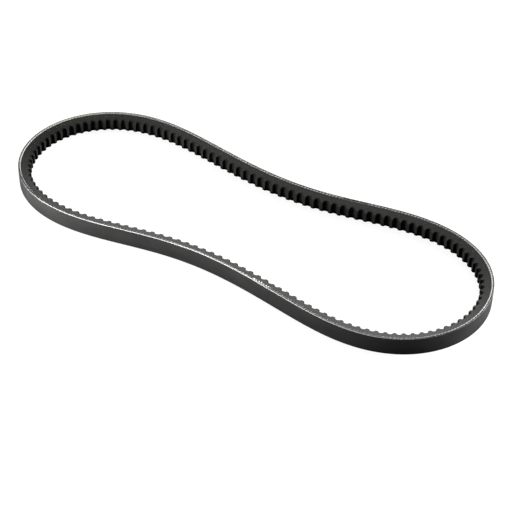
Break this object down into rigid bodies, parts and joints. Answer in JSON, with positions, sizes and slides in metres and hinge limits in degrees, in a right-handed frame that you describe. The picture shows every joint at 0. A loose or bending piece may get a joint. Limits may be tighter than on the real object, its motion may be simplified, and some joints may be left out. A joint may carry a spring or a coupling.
{
  "type": "v belt",
  "caption": "Endless raw-edge cogged V belt, relaxed in a waisted loop on its edge, with back cover, tensile cords, cushion rubber and moulded cogs.",
  "frame": {"origin": "middle of the loop and of the belt's width, the centre of the bounding box at rest", "axes": "+X along the loop's long axis, +Y across the loop, +Z across the belt's width, square to the plane the loop lies in"},
  "size_m": [0.3486, 0.1226, 0.013],
  "materials": {
    "back_cover": "smooth calendered rubber over a fine fabric, satin, lightly scuffed",
    "tensile_cord": "off-white twisted cord cut at the flank, matt fibre ends",
    "cushion_rubber": "ground raw edge, fine cross scratches, matt charcoal",
    "cog_rubber": "fibre-filled rubber, ground flanks, moulded matt black notches"
  },
  "bodies": {
    "segment_01": {"back_cover_01": "back_cover", "tensile_cord_01": "tensile_cord", "cushion_rubber_01": "cushion_rubber", "cog_rubber_01": "cog_rubber"},
    "segment_02": {"back_cover_02": "back_cover", "tensile_cord_02": "tensile_cord", "cushion_rubber_02": "cushion_rubber", "cog_rubber_02": "cog_rubber"},
    "segment_03": {"back_cover_03": "back_cover", "tensile_cord_03": "tensile_cord", "cushion_rubber_03": "cushion_rubber", "cog_rubber_03": "cog_rubber"},
    "segment_04": {"back_cover_04": "back_cover", "tensile_cord_04": "tensile_cord", "cushion_rubber_04": "cushion_rubber", "cog_rubber_04": "cog_rubber"},
    "segment_05": {"back_cover_05": "back_cover", "tensile_cord_05": "tensile_cord", "cushion_rubber_05": "cushion_rubber", "cog_rubber_05": "cog_rubber"},
    "segment_06": {"back_cover_06": "back_cover", "tensile_cord_06": "tensile_cord", "cushion_rubber_06": "cushion_rubber", "cog_rubber_06": "cog_rubber"},
    "segment_07": {"back_cover_07": "back_cover", "tensile_cord_07": "tensile_cord", "cushion_rubber_07": "cushion_rubber", "cog_rubber_07": "cog_rubber"},
    "segment_08": {"back_cover_08": "back_cover", "tensile_cord_08": "tensile_cord", "cushion_rubber_08": "cushion_rubber", "cog_rubber_08": "cog_rubber"},
    "segment_09": {"back_cover_09": "back_cover", "tensile_cord_09": "tensile_cord", "cushion_rubber_09": "cushion_rubber", "cog_rubber_09": "cog_rubber"},
    "segment_10": {"back_cover_10": "back_cover", "tensile_cord_10": "tensile_cord", "cushion_rubber_10": "cushion_rubber", "cog_rubber_10": "cog_rubber"},
    "segment_11": {"back_cover_11": "back_cover", "tensile_cord_11": "tensile_cord", "cushion_rubber_11": "cushion_rubber", "cog_rubber_11": "cog_rubber"},
    "segment_12": {"back_cover_12": "back_cover", "tensile_cord_12": "tensile_cord", "cushion_rubber_12": "cushion_rubber", "cog_rubber_12": "cog_rubber"},
    "segment_13": {"back_cover_13": "back_cover", "tensile_cord_13": "tensile_cord", "cushion_rubber_13": "cushion_rubber", "cog_rubber_13": "cog_rubber"},
    "segment_14": {"back_cover_14": "back_cover", "tensile_cord_14": "tensile_cord", "cushion_rubber_14": "cushion_rubber", "cog_rubber_14": "cog_rubber"},
    "segment_15": {"back_cover_15": "back_cover", "tensile_cord_15": "tensile_cord", "cushion_rubber_15": "cushion_rubber", "cog_rubber_15": "cog_rubber"}
  },
  "joints": [
    {"name": "flex_07_08", "type": "hinge", "parent": "segment_08", "child": "segment_07", "pos_m": [-0.02563, 0.04965, 0], "axis": [0, 0, 1], "range_deg": [-9.85, 6.77]},
    {"name": "flex_06_07", "type": "hinge", "parent": "segment_07", "child": "segment_06", "pos_m": [0.01135, 0.04743, 0], "axis": [0, 0, 1], "range_deg": [-9.91, 6.81]},
    {"name": "flex_05_06", "type": "hinge", "parent": "segment_06", "child": "segment_05", "pos_m": [0.04816, 0.05147, 0], "axis": [0, 0, 1], "range_deg": [-7.9, 5.43]},
    {"name": "flex_04_05", "type": "hinge", "parent": "segment_05", "child": "segment_04", "pos_m": [0.16291, 0.03394, 0], "axis": [0, 0, 1], "range_deg": [-8.2, 11.92]},
    {"name": "flex_03_04", "type": "hinge", "parent": "segment_04", "child": "segment_03", "pos_m": [0.1722, -0.00718, 0], "axis": [0, 0, 1], "range_deg": [-7.93, 11.53]},
    {"name": "flex_02_03", "type": "hinge", "parent": "segment_03", "child": "segment_02", "pos_m": [0.15097, -0.04384, 0], "axis": [0, 0, 1], "range_deg": [-6.27, 9.12]},
    {"name": "flex_01_02", "type": "hinge", "parent": "segment_02", "child": "segment_01", "pos_m": [0.06832, -0.0566, 0], "axis": [0, 0, 1], "range_deg": [-4.91, 3.38]},
    {"name": "flex_08_09", "type": "hinge", "parent": "segment_08", "child": "segment_09", "pos_m": [-0.06832, 0.0566, 0], "axis": [0, 0, 1], "range_deg": [-3.38, 4.91]},
    {"name": "flex_09_10", "type": "hinge", "parent": "segment_09", "child": "segment_10", "pos_m": [-0.15097, 0.04384, 0], "axis": [0, 0, 1], "range_deg": [-9.12, 6.27]},
    {"name": "flex_10_11", "type": "hinge", "parent": "segment_10", "child": "segment_11", "pos_m": [-0.1722, 0.00718, 0], "axis": [0, 0, 1], "range_deg": [-11.53, 7.93]},
    {"name": "flex_11_12", "type": "hinge", "parent": "segment_11", "child": "segment_12", "pos_m": [-0.16291, -0.03394, 0], "axis": [0, 0, 1], "range_deg": [-11.92, 8.2]},
    {"name": "flex_12_13", "type": "hinge", "parent": "segment_12", "child": "segment_13", "pos_m": [-0.04816, -0.05147, 0], "axis": [0, 0, 1], "range_deg": [-5.43, 7.9]},
    {"name": "flex_13_14", "type": "hinge", "parent": "segment_13", "child": "segment_14", "pos_m": [-0.01135, -0.04743, 0], "axis": [0, 0, 1], "range_deg": [-6.81, 9.91]},
    {"name": "flex_14_15", "type": "hinge", "parent": "segment_14", "child": "segment_15", "pos_m": [0.02563, -0.04965, 0], "axis": [0, 0, 1], "range_deg": [-6.77, 9.85]}
  ],
  "couplings": [
    {"joint": "flex_06_07", "follows": "flex_07_08", "ratio": 1.0064},
    {"joint": "flex_05_06", "follows": "flex_07_08", "ratio": 0.80188},
    {"joint": "flex_04_05", "follows": "flex_07_08", "ratio": -1.2105},
    {"joint": "flex_03_04", "follows": "flex_07_08", "ratio": -1.1707},
    {"joint": "flex_02_03", "follows": "flex_07_08", "ratio": -0.92586},
    {"joint": "flex_01_02", "follows": "flex_07_08", "ratio": 0.49875},
    {"joint": "flex_08_09", "follows": "flex_07_08", "ratio": -0.49875},
    {"joint": "flex_09_10", "follows": "flex_07_08", "ratio": 0.92586},
    {"joint": "flex_10_11", "follows": "flex_07_08", "ratio": 1.1707},
    {"joint": "flex_11_12", "follows": "flex_07_08", "ratio": 1.2105},
    {"joint": "flex_12_13", "follows": "flex_07_08", "ratio": -0.80188},
    {"joint": "flex_13_14", "follows": "flex_07_08", "ratio": -1.0064},
    {"joint": "flex_14_15", "follows": "flex_07_08", "ratio": -1}
  ]
}
